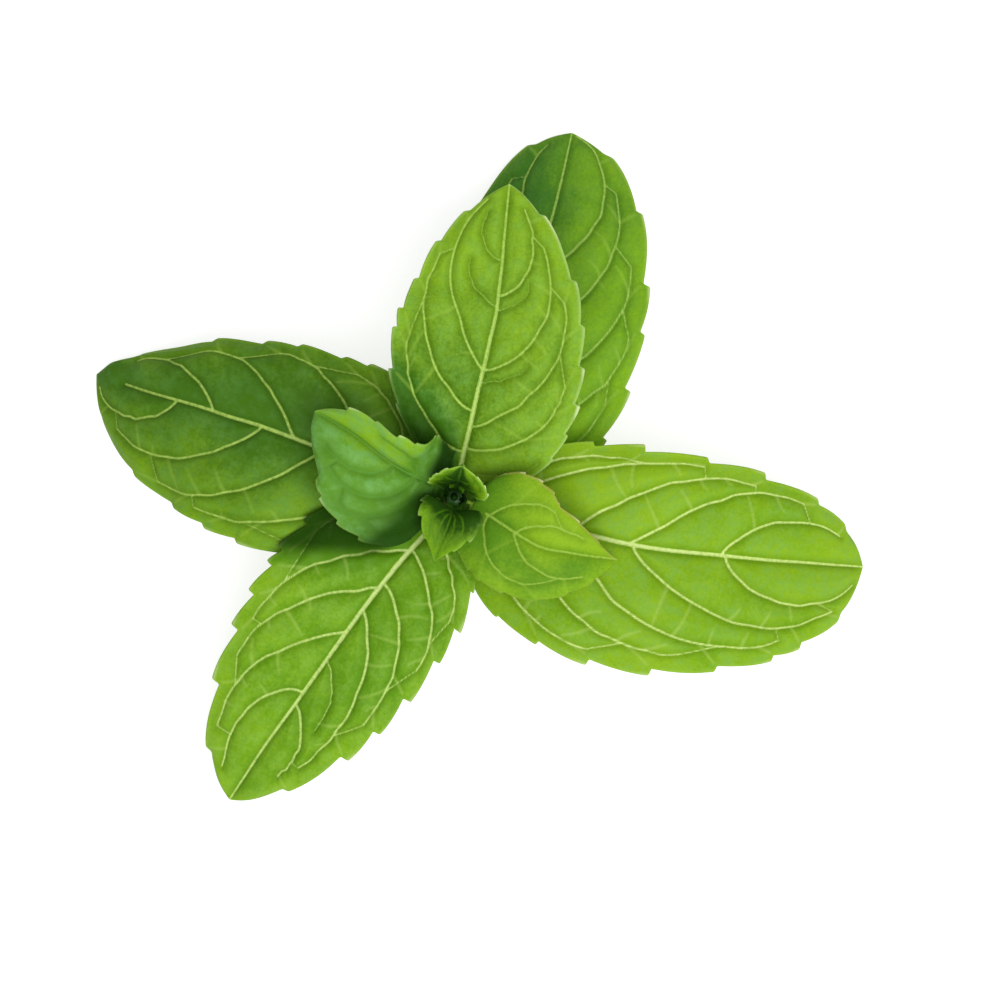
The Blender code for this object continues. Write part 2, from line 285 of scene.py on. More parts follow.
# Veins: widths are half widths, and places count the points along a side vein.
THINNEST_VEIN = 0.045
VEIN_POINTS = 42
LINK_PLACE = 30
TOOTH_VEIN_PLACE = 12
SPUR_STEP = 6
SPUR_POINTS = 7
LONGEST_SPUR = 4.5
# A side vein that runs along less of the blade than this ends free.
FREE_BRANCH = 0.19
# The skin: how far from a vein its swelling rises, and the grooves that the veins lie in.
SWELL_REACH = 1.1
NET_SWELL = 0.1
GROOVE = 0.15
GROOVE_WIDTH = 0.16
WAVES = 4.3
# Thickness of the skin, how much less it is at the margin, and the body under each vein.
SKIN_DEPTH = 0.30
MARGIN_THINNING = 0.16
VEIN_BODY = 0.14
VEIN_BODY_WIDTH = 0.2
# Half the share of the leaf over which the painted shade at its foot fades out.
FOOT_SHADE_FADE = 0.09
HALVES = (("left", 1), ("right", -1))


def along(stations, share):
    """Value or point at each share (0 to 1) of even stations, on a smooth curve."""
    known = np.array(stations, float).reshape(len(stations), -1)
    known = np.vstack([2 * known[0] - known[1], known, 2 * known[-1] - known[-2]])
    place = np.clip(share, 0, 1) * (len(stations) - 1)
    span = np.minimum(place.astype(int), len(stations) - 2)
    t = (place - span)[..., None]
    a, b, c, d = (known[span + step] for step in range(4))
    curve = 2 * b + (c - a) * t + (2 * a - 5 * b + 4 * c - d) * t**2
    curve = 0.5 * (curve + (3 * b - a - 3 * c + d) * t**3)
    return curve[..., 0] if curve.shape[-1] == 1 else curve


def smooth_step(value, start, end):
    """0 before start, 1 after end, and a soft step between them."""
    t = np.clip((value - start) / (end - start), 0, 1)
    return t * t * (3 - 2 * t)


def midrib(leaf, share):
    """Points of a leaf's midrib, in mm from the foot of the stem."""
    out, sideways, up = np.moveaxis(along(leaf["spine"], share), -1, 0)
    turn = math.radians(leaf["azimuth"])
    x = out * math.cos(turn) - sideways * math.sin(turn)
    y = out * math.sin(turn) + sideways * math.cos(turn)
    return np.stack([x, y, up], -1)


def half_outline(half, share):
    """Half width of the blade in mm, without its teeth, at shares of the blade."""
    width, base, tip, shoulder = half
    widest = base / (base + tip)
    share = np.clip(share, 0, 1)
    bulge = width * share**base * (1 - share) ** tip / (widest**base * (1 - widest) ** tip)
    bulge *= (1 - np.exp((share - 1) / TIP_POINT)) ** max(1 - tip, 0)
    return (bulge**6 + (shoulder * (1 - share) ** 3) ** 6) ** (1 / 6)


def blade_points(leaf, share, side, reach, across):
    """Points of the upper face in mm, at the share across of the half width reach. The foot
    of the blade is heart-shaped: its two lobes reach back beside the stem."""
    step = 0.002
    ahead = midrib(leaf, np.minimum(share + step, 1))
    forward = ahead - midrib(leaf, np.maximum(share - step, 0))
    forward /= np.linalg.norm(forward, axis=-1, keepdims=True)
    sideways = np.cross([0, 0, 1], forward)
    sideways /= np.linalg.norm(sideways, axis=-1, keepdims=True)
    upward = np.cross(forward, sideways)
    fold = np.radians(along(leaf["fold_" + side], share))
    curl = np.radians(along(leaf["curl_" + side], share))
    curl = np.where(np.abs(curl) < 1e-4, 1e-4, curl)
    bend = fold + curl * across
    run = reach / curl * (np.sin(bend) - np.sin(fold))
    rise = reach / curl * (np.cos(fold) - np.cos(bend))
    if side == "right":
        run = -run
    outer = np.minimum(reach * across / leaf[side][3], 1)
    back = leaf["lobe"] * outer**2 * (1 - share) ** 8
    middle = midrib(leaf, share) - forward * back[..., None]
    return middle + sideways * run[..., None] + upward * rise[..., None]


def tooth_height(tips, share, notch, draw):
    """How far up its tooth each place of the margin is: a long rounded back, then a drop."""
    height = np.zeros_like(share)
    start = tips[0] - 0.8 * (tips[1] - tips[0])
    for tip in tips:
        size = draw.uniform(0.7, 1.0)
        back = np.clip((share - start) / (tip - start), 0, 1)
        rise = size * (1 - (1 - back) ** 1.5)
        drop = 1 - smooth_step(share, tip, tip + notch)
        height = np.maximum(height, rise * drop)
        start = tip
    return height


def blade_x(leaf, length, share):
    """How far along the flat leaf a share of its blade is, in mm."""
    stalk = leaf["stalk"][0]
    return length * (stalk + (1 - stalk) * share)


def side_veins(leaf, side, sign, length, draw):
    """The side veins of one half laid flat, as lines of x, y and half width: short ones that
    end free, and arches that bend forward and will be joined."""
    t = np.linspace(0, 1, VEIN_POINTS)
    knots = np.linspace(0, 1, 14)
    free, arches = [], []
    for start, run, reach, bend in leaf["veins_" + side]:
        share = np.clip(start + run * t**1.15, 0, 0.995)
        across = reach * np.sin(t * math.pi / 2) ** bend
        shift = np.stack([np.interp(t, knots, draw.uniform(-1, 1, 14)) for _ in range(2)])
        shift *= leaf["kink"] * np.sin(np.minimum(4 * t, 1) * math.pi / 2)
        x = blade_x(leaf, length, share) + shift[0]
        y = sign * half_outline(leaf[side], share) * across + shift[1]
        if run < FREE_BRANCH:
            free.append((x, y, leaf["free_vein"] - 0.04 * t))
        else:
            arches.append((x, y, leaf["side_vein"] * (1 - t) ** 0.8 + THINNEST_VEIN))
    return free, arches


def cross_spurs(leaf, arch, following, draw):
    """Fine spurs that set out from one side vein towards the next, or back from it."""
    x, y, _ = arch
    next_x, next_y, _ = following
    t = np.linspace(0, 1, SPUR_POINTS)
    middle = len(x) // 2
    behind = middle - int(np.argmin(np.hypot(next_x - x[middle], next_y - y[middle])))
    spurs = []
    for spur in np.arange(4, len(x) - 4, SPUR_STEP):
        place = int(spur + draw.integers(-1, 2))
        facing = place - behind + int(draw.integers(-2, 3))
        bow = draw.uniform(-1, 1, 2) * leaf["kink"] * 1.6
        reach = draw.uniform(0.2, 1.0)
        from_next = draw.random() < 0.4
        if facing < 3 or facing > len(x) - 2:
            continue
        run_x, run_y = next_x[facing] - x[place], next_y[facing] - y[place]
        if math.hypot(run_x, run_y) < LONGEST_SPUR:
            way = 1 - reach * t if from_next else reach * t
            spur_x = x[place] + run_x * way + bow[0] * np.sin(math.pi * t)
            spur_y = y[place] + run_y * way + bow[1] * np.sin(math.pi * t)
            spurs.append((spur_x, spur_y, 0.03 - 0.09 * t))
    return spurs


def tooth_veins(leaf, side, sign, length, arches):
    """Fine veins from the nearest side vein, somewhat behind, to the point of each tooth."""
    t = np.linspace(0, 1, SPUR_POINTS)
    arch_x, arch_y = (
        np.concatenate([arch[part][TOOTH_VEIN_PLACE:] for arch in arches]) for part in (0, 1)
    )
    veins = []
    for tip in leaf["teeth_" + side]:
        tip_x = blade_x(leaf, length, tip)
        tip_y = sign * half_outline(leaf[side], tip) * 0.97
        apart = np.hypot(arch_x - tip_x, arch_y - tip_y)
        too_far_on = arch_x > tip_x - 0.12 * np.abs(tip_y)
        near = int(np.argmin(apart + 2 * LONGEST_SPUR * too_far_on))
        if apart[near] < LONGEST_SPUR and not too_far_on[near]:
            vein_x = arch_x[near] + (tip_x - arch_x[near]) * t**0.9
            vein_y = arch_y[near] + (tip_y - arch_y[near]) * t
            veins.append((vein_x, vein_y, 0.02 - 0.05 * t))
    return veins


def vein_runs(leaf, length, draw):
    """The veins laid flat, as short straight runs: first the midrib, the side veins and the
    links between them, then the fine spurs between the arches and out to the teeth."""
    t = np.linspace(leaf["rib_start"], leaf["rib_end"], 70)
    knots = np.linspace(0, 1, 13)
    sway = np.interp(t, knots, draw.uniform(-0.6, 0.6, 13) * leaf["kink"]) * np.sin(math.pi * t)
    lines = [(length * t, sway, leaf["rib"] * (1 - t) ** 0.8 + THINNEST_VEIN)]
    spurs = []
    t = np.linspace(0, 1, SPUR_POINTS)
    for side, sign in HALVES:
        free, arches = side_veins(leaf, side, sign, length, draw)
        lines += free + arches
        for arch, following in zip(arches, arches[1:]):
            link_x = arch[0][-1] + (following[0][LINK_PLACE] - arch[0][-1]) * t
            link_y = arch[1][-1] + (following[1][LINK_PLACE] - arch[1][-1]) * t
            lines.append((link_x, link_y, 0 * t + 0.6 * THINNEST_VEIN))
            spurs += cross_spurs(leaf, arch, following, draw)
        spurs += tooth_veins(leaf, side, sign, length, arches)
    return straight_runs(lines), straight_runs(spurs)


def straight_runs(lines):
    """Cut lines of x, y and half width into straight runs: both ends and half width."""
    runs = [(x[:-1], y[:-1], x[1:], y[1:], (w[:-1] + w[1:]) / 2) for x, y, w in lines]
    return np.hstack([np.stack(run) for run in runs]).T


def vein_distance(x, y, runs):
    """Distance in mm from each flat place to the edge of the nearest vein."""
    nearest = np.full(x.shape, 99.0)
    for ax, ay, bx, by, half in runs:
        dx, dy = bx - ax, by - ay
        t = np.clip(((x - ax) * dx + (y - ay) * dy) / (dx * dx + dy * dy + 1e-9), 0, 1)
        nearest = np.minimum(nearest, np.hypot(x - ax - t * dx, y - ay - t * dy) - half)
    return nearest


def crowded_shares(rows, stalk):
    """Shares of the leaf's length for the rows of points, which crowd together at the tip
    and where the stalk becomes the blade."""
    fine = np.linspace(0, 1, 2000)
    density = 1 + 4 * np.exp(-(1 - fine) / 0.012) + 2 * np.exp(-np.abs(fine - stalk) / 0.02)
    total = np.cumsum(density)
    total = (total - total[0]) / (total[-1] - total[0])
    return np.interp(np.linspace(0, 1, rows + 1), total, fine)


def lay_blade(leaf, share, y, length, draw):
    """The upper face before its veins, at shares of the leaf's length and, in y, of its
    width: points, flat distance from the midrib, half width, teeth, tone with its painted light
    and shade, and strength of the painted edge highlight."""
    stalk, stalk_half = leaf["stalk"]
    across = np.abs(y)
    blade_share = np.clip((share - stalk) / (1 - stalk), 0, 1)
    opened = smooth_step(share, 0.6 * stalk, 1.3 * stalk)
    points = np.zeros(y.shape + (3,))
    flat_y, half, teeth, tone, rim = np.zeros((5,) + y.shape)
    for side, sign in HALVES:
        here = y * sign >= 0
        height = tooth_height(leaf["teeth_" + side], blade_share, leaf["notch"], draw)
        lean = height * across**8 * leaf["tooth"] * 0.5 / length
        reach = half_outline(leaf[side], blade_share)
        reach = stalk_half * (1 - blade_share) * (1 - opened) + reach * opened
        wide = across + height * leaf["tooth"] / leaf[side][0] * across**8
        placed = blade_points(leaf, np.clip(share + lean, 0, 1), side, reach, wide)
        points[here] = placed[here]
        flat_y[here] = (sign * reach * wide)[here]
        half[here] = reach[here]
        teeth[here] = (height * across**9)[here]
        # Painted shade at the foot of the blade pulls its tone down; the middle can get painted
        # shade too.
        end, slope, depth = leaf["dusk_" + side]
        dusk = 1 - smooth_step(share - slope * across, end - FOOT_SHADE_FADE, end + FOOT_SHADE_FADE)
        green = along(leaf["tone_" + side], share) - leaf["core"] * (1 - across)
        tone[here] = (green - depth * dusk)[here]
        rim[here] = leaf["rim_" + side]
    middle = (along(leaf["tone_left"], share) + along(leaf["tone_right"], share)) / 2
    middle -= leaf["core"]
    tone = middle + (tone - middle) * smooth_step(across, 0.0, 0.35)
    return points, flat_y, half, teeth, tone, rim


def skin_lift(leaf, share, y, rib, net):
    """How far the upper face rises, in mm. The skin swells between the veins, which lie in
    grooves, waves towards the margin, and turns down at it."""
    across = np.abs(y)
    beside = np.maximum(rib, 0)
    swell = leaf["swell"]
    lift = swell * (1 - np.exp(-beside / SWELL_REACH))
    lift += NET_SWELL * swell * (1 - np.exp(-net / 0.4)) * smooth_step(rib, 0.0, 0.6)
    lift *= 1 - 0.75 * smooth_step(across, 0.7, 1.0)
    lift -= GROOVE * swell * np.exp(-((beside / GROOVE_WIDTH) ** 2))
    wave = np.sin(2 * np.pi * WAVES * share + 1.4 * y + leaf["seed"])
    lift += leaf["wave"] * across**2 * wave * np.sin(np.pi * share)
    lift -= leaf["droop"] * smooth_step(across, 0.78, 1.0) ** 2
    return lift * smooth_step(1 - share, 0.0, 0.04)


def leaf_depth(leaf, share, across, flat_y, rib, on_blade):
    """Thickness in mm: the skin, a keel under the midrib and a little body under each vein,
    or on the stalk a round rod."""
    thin = SKIN_DEPTH - MARGIN_THINNING * across**5
    keel = leaf["keel"] * (1 - share) ** 0.8 * np.exp(-((flat_y / leaf["depth"]) ** 2))
    body = VEIN_BODY * np.exp(-((np.maximum(rib, 0) / VEIN_BODY_WIDTH) ** 2))
    rod = leaf["depth"] * np.sqrt(1 - (0.93 * across) ** 2)
    return leaf["thin"] * ((thin + keel + body) * on_blade + rod * (1 - on_blade))


def mesh_order(order, values):
    """Values kept by row and column, put in the order of the mesh's own points."""
    back = np.zeros((len(order),) + values.shape[2:])
    back[order] = values.reshape(back.shape)
    return back


def thicken(blade, depth, tip):
    """Draw the tip's points together, and give the blade a lower face, depth mm below."""
    group = blade.vertex_groups.new(name="depth")
    for index, share in enumerate(depth / depth.max()):
        group.add([index], float(share), "REPLACE")
    bpy.ops.object.mode_set(mode="EDIT")
    bpy.ops.mesh.select_all(action="DESELECT")
    bpy.ops.object.mode_set(mode="OBJECT")
    chosen = np.zeros(len(depth), bool)
    chosen[tip] = True
    blade.data.vertices.foreach_set("select", chosen)
    bpy.context.tool_settings.mesh_select_mode = (True, False, False)
    bpy.ops.object.mode_set(mode="EDIT")
    bpy.ops.mesh.merge(type="CENTER")
    bpy.ops.object.mode_set(mode="OBJECT")
    upper_count = len(blade.data.vertices)
    solid = blade.modifiers.new("thickness", "SOLIDIFY")
    solid.thickness = depth.max() * MM
    solid.offset = -1
    solid.vertex_group = "depth"
    bpy.ops.object.modifier_apply(modifier="thickness")
    under = np.arange(len(blade.data.vertices)) >= upper_count
    store(blade.data, "under", under.astype(float))


def grow_leaf(name, leaf):
    """One leaf with its stalk: a grid laid along its midrib, given its teeth, its veins and
    its swellings, then thickened downwards."""
    draw = np.random.default_rng(leaf["seed"])
    rows, columns = leaf["grid"]
    stalk = leaf["stalk"][0]
    bpy.ops.object.select_all(action="DESELECT")
    bpy.ops.mesh.primitive_grid_add(x_subdivisions=rows, y_subdivisions=columns, size=2)
    blade = bpy.context.object
    blade.name = name
    grid = read_points(blade.data) * MM
    order = np.lexsort((grid[:, 1], grid[:, 0]))
    size = (rows + 1, columns + 1)
    y = grid[order, 1].reshape(size)
    across = np.abs(y)
    share = crowded_shares(rows, stalk)[:, None] * np.ones(size)
    length = np.linalg.norm(np.diff(midrib(leaf, np.linspace(0, 1, 200)), axis=0), axis=1).sum()

    points, flat_y, half, teeth, tone, rim = lay_blade(leaf, share, y, length, draw)
    flat_x = length * share
    veins, spurs = vein_runs(leaf, length, draw)
    rib = vein_distance(flat_x, flat_y, veins)
    net = vein_distance(flat_x, flat_y, spurs)
    margin = half * (1 - across)
    on_blade = smooth_step(share, stalk * 0.9, stalk * 1.6 + 0.01)

    normal = np.cross(np.gradient(points, axis=0), np.gradient(points, axis=1))
    normal[-2:] = normal[-3]
    normal /= np.linalg.norm(normal, axis=-1, keepdims=True) + 1e-12
    lift = skin_lift(leaf, share, y, rib, net) * on_blade
    points += normal * lift[..., None]
    azimuth = math.radians(leaf["azimuth"])
    points[0] -= leaf["root"] * np.array([math.cos(azimuth), math.sin(azimuth), 0])
    stem_foot = np.array([STEM_X, STEM_Y, 0]) / MM
    write_points(blade.data, mesh_order(order, points) + stem_foot)

    kept = {"rib": rib, "net": net, "margin": margin, "tone": tone, "tooth": teeth}
    kept["rim"] = rim * (1 - smooth_step(margin, 0.05, 0.3))
    kept["blade"] = on_blade
    kept["flat"] = np.stack([flat_x, flat_y, 0 * flat_x + 11.3 * leaf["seed"]], -1)
    for label, values in kept.items():
        store(blade.data, label, mesh_order(order, values))
    depth = leaf_depth(leaf, share, across, flat_y, rib, on_blade)
    thicken(blade, mesh_order(order, depth), order.reshape(size)[-1])
    bpy.ops.object.shade_smooth()
    return blade


def add_socket(group, name, kind, in_out="INPUT"):
    """A colour or number socket on the outside of a node group."""
    group.interface.new_socket(name=name, in_out=in_out, socket_type="NodeSocket" + kind)


CREAM = (0.8, 0.85, 0.5, 1)
BLACK = (0, 0, 0, 1)
PAINTED_SHADE_GREEN = (0.006, 0.035, 0.001, 1)
SKIN_COLOURS = ("Fresh", "Deep", "Bloom_and_sheen", "Vein", "Rim_highlight", "Underside")
SKIN_AMOUNTS = ("Bloom_and_sheen amount", "Net amount", "Mottle")

skin = bpy.data.node_groups.new("leaf skin", "ShaderNodeTree")
for name in SKIN_COLOURS:
    add_socket(skin, name, "Color")
for name in SKIN_AMOUNTS:
    add_socket(skin, name, "Float")
add_socket(skin, "Colour", "Color", "OUTPUT")
for name in ("Roughness", "Height"):
    add_socket(skin, name, "Float", "OUTPUT")
given = skin.nodes.new("NodeGroupInput").outputs
made = skin.nodes.new("NodeGroupOutput").inputs
flat = field(skin, "flat").outputs["Vector"]
rib, net, margin, tone, tooth, rim, on_blade, under = (
    field(skin, name).outputs["Fac"]
    for name in ("rib", "net", "margin", "tone", "tooth", "rim", "blade", "under")
)

blotch = noise(skin, flat, 0.17, 3)
cloud = noise(skin, flat, 0.55, 3)
dapple = noise(skin, flat, 1.6)
speck = noise(skin, flat, 3.2, 3)
cells = skin.nodes.new("ShaderNodeTexVoronoi")
cells.feature = "DISTANCE_TO_EDGE"
cells.inputs["Scale"].default_value = 1.5
skin.links.new(flat, cells.inputs["Vector"])
cell_line = fade(skin, cells.outputs["Distance"], 0.10, 0.0)
near_vein = fade(skin, rib, 0.9, 0.03)
on_vein = fade(skin, rib, 0.09, -0.035)
on_midrib = fade(skin, rib, -0.06, -0.16)
on_net = fade(skin, net, 0.3, 0.0)

share = figure(skin, "SUBTRACT", blotch, 0.5)
share = product(skin, figure(skin, "SUBTRACT", cloud, 0.5), 0.7, share)
share = product(skin, figure(skin, "SUBTRACT", speck, 0.5), 0.7, share)
share = product(skin, share, given["Mottle"], tone)
share = product(skin, fade(skin, margin, 2.2, 0.3), 0.15, share)
share = fade(skin, share, 0.0, 1.0)
colour = blend(skin, share, given["Deep"], given["Fresh"])
# Bloom and painted sheen: a bluish haze in patches, partly the leaf's waxy bloom and partly
# painted reflection of the white sky.
bloom_and_sheen_share = figure(skin, "SUBTRACT", product(skin, dapple, 0.8, cloud), 0.9)
bloom_and_sheen_share = product(skin, bloom_and_sheen_share, given["Mottle"], 0.9)
bloom_and_sheen_share = product(skin, fade(skin, bloom_and_sheen_share, 0.65, 1.25), given["Bloom_and_sheen amount"])
bloom_and_sheen_share = product(skin, bloom_and_sheen_share, fade(skin, tone, 1.5, 0.7))
bloom_and_sheen_share = product(skin, bloom_and_sheen_share, product(skin, near_vein, -0.6, 1.0))
colour = blend(skin, bloom_and_sheen_share, colour, given["Bloom_and_sheen"])
# Painted shade in the grooves beside the veins.
beside = product(skin, near_vein, 0.34)
colour = blend(skin, beside, colour, blend(skin, 0.35, given["Deep"], BLACK))
colour = blend(skin, product(skin, cell_line, 0.14), colour, given["Deep"])
net_line = product(skin, on_net, given["Net amount"])
colour = blend(skin, net_line, colour, blend(skin, 0.5, given["Fresh"], given["Vein"]))
worn_vein = product(skin, speck, 1.5, 0.05)
colour = blend(skin, product(skin, on_vein, worn_vein), colour, given["Vein"])
pale_vein = blend(skin, 0.3, given["Vein"], CREAM)
colour = blend(skin, product(skin, on_midrib, 0.85), colour, pale_vein)
# Painted highlight along the edge, brightest on the tooth tips.
rim = product(skin, rim, on_blade)
colour = blend(skin, rim, colour, given["Rim_highlight"])
tooth_tip_highlight = product(skin, fade(skin, tooth, 0.65, 0.9), rim)
tooth_tip_highlight = figure(skin, "MINIMUM", product(skin, tooth_tip_highlight, 1.5), 1.0)
colour = blend(skin, tooth_tip_highlight, colour, blend(skin, 0.6, given["Rim_highlight"], CREAM))
stalk_green = figure(skin, "SUBTRACT", 1.0, on_blade)
colour = blend(skin, product(skin, stalk_green, 0.7), colour, given["Vein"])
# Painted shade: where the tone falls below 0, the colour sinks to near-black green.
gloom = product(skin, fade(skin, tone, 0.0, -1.0), 0.9)
colour = blend(skin, gloom, colour, PAINTED_SHADE_GREEN)
back = blend(skin, fade(skin, cloud, 0.3, 0.75), given["Underside"], colour)
back = blend(skin, product(skin, on_vein, 0.8), back, given["Vein"])
colour = blend(skin, under, colour, back)
skin.links.new(colour, made["Colour"])

sheen = product(skin, speck, 0.2, 0.45)
sheen = product(skin, on_vein, -0.08, sheen)
sheen = product(skin, under, 0.22, sheen)
sheen = product(skin, gloom, 0.5, sheen)
skin.links.new(sheen, made["Roughness"])
relief = product(skin, speck, 0.35, 0.4)
relief = product(skin, cell_line, -0.35, relief)
relief = product(skin, on_net, -0.25, relief)
skin.links.new(relief, made["Height"])

# The height of the finest relief, the share of light that comes through, and how much
# paler the underside is.
SKIN_RELIEF = 0.03
LIGHT_THROUGH = 0.22
PALENESS = (0.22, 0.3, 0.12)


def leaf_finish(name, fresh, deep, bloom_and_sheen, vein, rim, amounts, glow, gloss=0.09):
    """Soft thin leaf skin. amounts are how much bloom, net and mottle it shows, the bloom being
    a bluish haze that is partly waxy bloom and partly painted sheen; the edge colour is a
    painted highlight; glow is the colour of the light that comes through."""
    finish, tree, shader = new_finish(name)
    group = tree.nodes.new("ShaderNodeGroup")
    group.node_tree = skin
    underside = tuple(0.55 * part + pale * fresh[1] for part, pale in zip(fresh, PALENESS))
    for label, value in zip(SKIN_COLOURS, (fresh, deep, bloom_and_sheen, vein, rim, underside)):
        group.inputs[label].default_value = (*value, 1)
    for label, value in zip(SKIN_AMOUNTS, amounts):
        group.inputs[label].default_value = value
    tree.links.new(group.outputs["Colour"], shader.inputs["Base Color"])
    tree.links.new(group.outputs["Roughness"], shader.inputs["Roughness"])
    rough_skin(tree, shader, group.outputs["Height"], SKIN_RELIEF * MM)
    shader.inputs["Specular IOR Level"].default_value = gloss
    through = tree.nodes.new("ShaderNodeBsdfTranslucent")
    through.inputs["Color"].default_value = (*glow, 1)
    mix = tree.nodes.new("ShaderNodeMixShader")
    mix.inputs[0].default_value = LIGHT_THROUGH
    tree.links.new(shader.outputs["BSDF"], mix.inputs[1])
    tree.links.new(through.outputs["BSDF"], mix.inputs[2])
    tree.links.new(mix.outputs["Shader"], tree.nodes["Material Output"].inputs["Surface"])
    return finish


def add_leaf(name, node, leaf, finish):
    """Grow a leaf, give it its skin and let it stand for its plain solid."""
    piece = grow_leaf(name, leaf)
    piece.data.materials.append(finish)
    settle(piece, node)


# Each leaf is described from its foot to its tip, in mm and degrees.
# azimuth: where it points, from +X. stalk: its share of the leaf, and its half width.
# spine: even stations of the midrib as (out from the stem, to the leaf's left, height).
# left, right: half width, how quickly the outline narrows at the base and at the tip, and
# the half width of the blade's foot. lobe: how far its corners reach back by the stem.
# fold: slope of each half, up from the midrib. curl: how far it bends on to the margin.
# teeth: where their tips are along the blade. tooth: their height. notch: the share of the
# blade in which each one drops. droop: how far the margin turns down.
# veins: (where it leaves the midrib, how much of the blade it runs along, how near it
# comes to the margin, how late it bends). kink: how crooked they are.
# rib, side_vein, free_vein: their half widths. rib_start, rib_end: where the midrib shows.
# swell, wave: how high the skin stands between veins, and how it waves at the margin.
# depth: thickness of the stalk. keel: the ridge under the midrib. thin: share of the usual
# thickness. root: how far the stalk runs on into the stem.
# tone: from 0, deep green, to 1, fresh green; partly the leaf's own green and partly painted
# light and shade, and below 0 painted shade that sinks to near-black green. The shade of the
# middle: how much painted shade deepens it. The shade at the foot: painted shade there, as (its
# end, how that slants, how deep it is). The edge highlight: how bright the painted highlight
# on the edge and the tooth tips is.
BIG = dict(
    stalk=(0.014, 1.2), lobe=1.3, depth=0.9, keel=0.45, thin=1, root=1.1,
    rib=0.17, rib_start=0.0, rib_end=1.0, side_vein=0.06, free_vein=0.04, kink=0.12,
    swell=0.48, wave=0.25, notch=0.02, droop=0.1, core=0.0,
    dusk_left=(-1, 0, 0), dusk_right=(-1, 0, 0), rim_left=0.3, rim_right=0.3,
    curl_left=[-10, -14, -12], curl_right=[-10, -14, -12],
)
lowest = dict(
    BIG, seed=1, grid=(240, 144), azimuth=72, tooth=0.9, rim_right=0.5,
    spine=[(1.9, 0, 4.5), (8.8, -0.1, 6), (16.2, -0.4, 6.5), (23.9, -0.6, 6), (31.4, -0.5, 4),
           (38.9, 0.2, 1)],
    left=(9.3, 0.3, 0.45, 3), fold_left=[12, 0, -12], curl_left=[-10, -12, -12],
    right=(12.4, 0.3, 0.51, 4), fold_right=[12, 8, 0], curl_right=[-10, -14, -14],
    teeth_left=[0.12, 0.25, 0.4, 0.55, 0.7, 0.944],
    teeth_right=[0.11, 0.232, 0.372, 0.521, 0.646, 0.818, 0.949],
    veins_left=[(0, 0.3, 0.9, 0.55), (0.15, 0.38, 0.9, 0.8), (0.3, 0.4, 0.88, 0.7),
                (0.45, 0.4, 0.8, 0.9), (0.63, 0.33, 0.65, 0.9)],
    veins_right=[(0, 0.33, 0.9, 0.53), (0.13, 0.38, 0.93, 0.86), (0.3, 0.39, 0.88, 0.65),
                 (0.42, 0.44, 0.77, 0.95), (0.6, 0.4, 0.68, 0.9)],
    # Painted shade on the left half, where the leaf above shades it, and painted light at the
    # foot of the right half; the brighter right edge is a painted highlight.
    tone_left=[0.3, 0.2, 0.05, 0.0, 0.45], tone_right=[1.6, 1.1, 0.75, 0.68, 0.68],
)
finish = leaf_finish(
    "deep green leaf skin with painted shade", fresh=(0.22, 0.43, 0.010), deep=(0.050, 0.178, 0.017),
    bloom_and_sheen=(0.06, 0.20, 0.06), vein=(0.40, 0.60, 0.12), rim=(0.33, 0.52, 0.06),
    amounts=(0.3, 0.4, 0.9), glow=(0.30, 0.55, 0.01),
)
add_leaf("lowest_leaf", "leaf_1_back", lowest, finish)

# ------------------------------------------------
# The second pair, the largest leaves, spread to both sides almost at rest height: the
# right one faces the light and is bright yellow-green; the left one lies in shade, and its
# colours are set darker and bluer towards its tip as painted shade. Each is one blade grown
# with its stalk.

second_right = dict(
    BIG, seed=2, grid=(250, 150), azimuth=-10, lobe=0.3, rib=0.2, tooth=0.9,
    spine=[(1.9, -0.6, 7), (10.3, -1.1, 9.5), (18.7, -1.6, 10), (27, -1.2, 8.5),
           (34.9, -0.5, 5.5), (42.1, 0.2, 0.3)],
    left=(9.3, 0.41, 0.57, 4), fold_left=[12, 10, 6],
    right=(12, 0.3, 0.5, 4), fold_right=[12, 10, 6],
    teeth_left=[0.1, 0.22, 0.346, 0.529, 0.681, 0.831, 0.925],
    teeth_right=[0.1, 0.206, 0.323, 0.445, 0.6, 0.735, 0.815, 0.925],
    veins_left=[(0, 0.3, 0.9, 0.3), (0.03, 0.5, 0.95, 0.65), (0.24, 0.43, 0.9, 0.8),
                (0.37, 0.43, 0.9, 1.2), (0.6, 0.32, 0.69, 0.8)],
    veins_right=[(0, 0.33, 0.94, 0.56), (0.12, 0.39, 0.88, 0.69), (0.27, 0.49, 0.88, 0.58),
                 (0.38, 0.53, 0.79, 0.9), (0.61, 0.36, 0.6, 0.7)],
    # Painted light near the foot of the upper half, where the small leaf above shades it.
    tone_left=[0.7, 0.95, 0.65, 0.6, 0.85], tone_right=[0.5, 0.65, 0.55, 0.55, 0.85],
)
finish = leaf_finish(
    "bright yellow-green leaf skin", fresh=(0.262, 0.45, 0.010), deep=(0.14, 0.31, 0.005),
    bloom_and_sheen=(0.17, 0.38, 0.07), vein=(0.62, 0.76, 0.24), rim=(0.36, 0.56, 0.05),
    amounts=(0.55, 0.36, 1.1), glow=(0.33, 0.56, 0.01),
)
add_leaf("second_leaf_right", "leaf_2_right", second_right, finish)

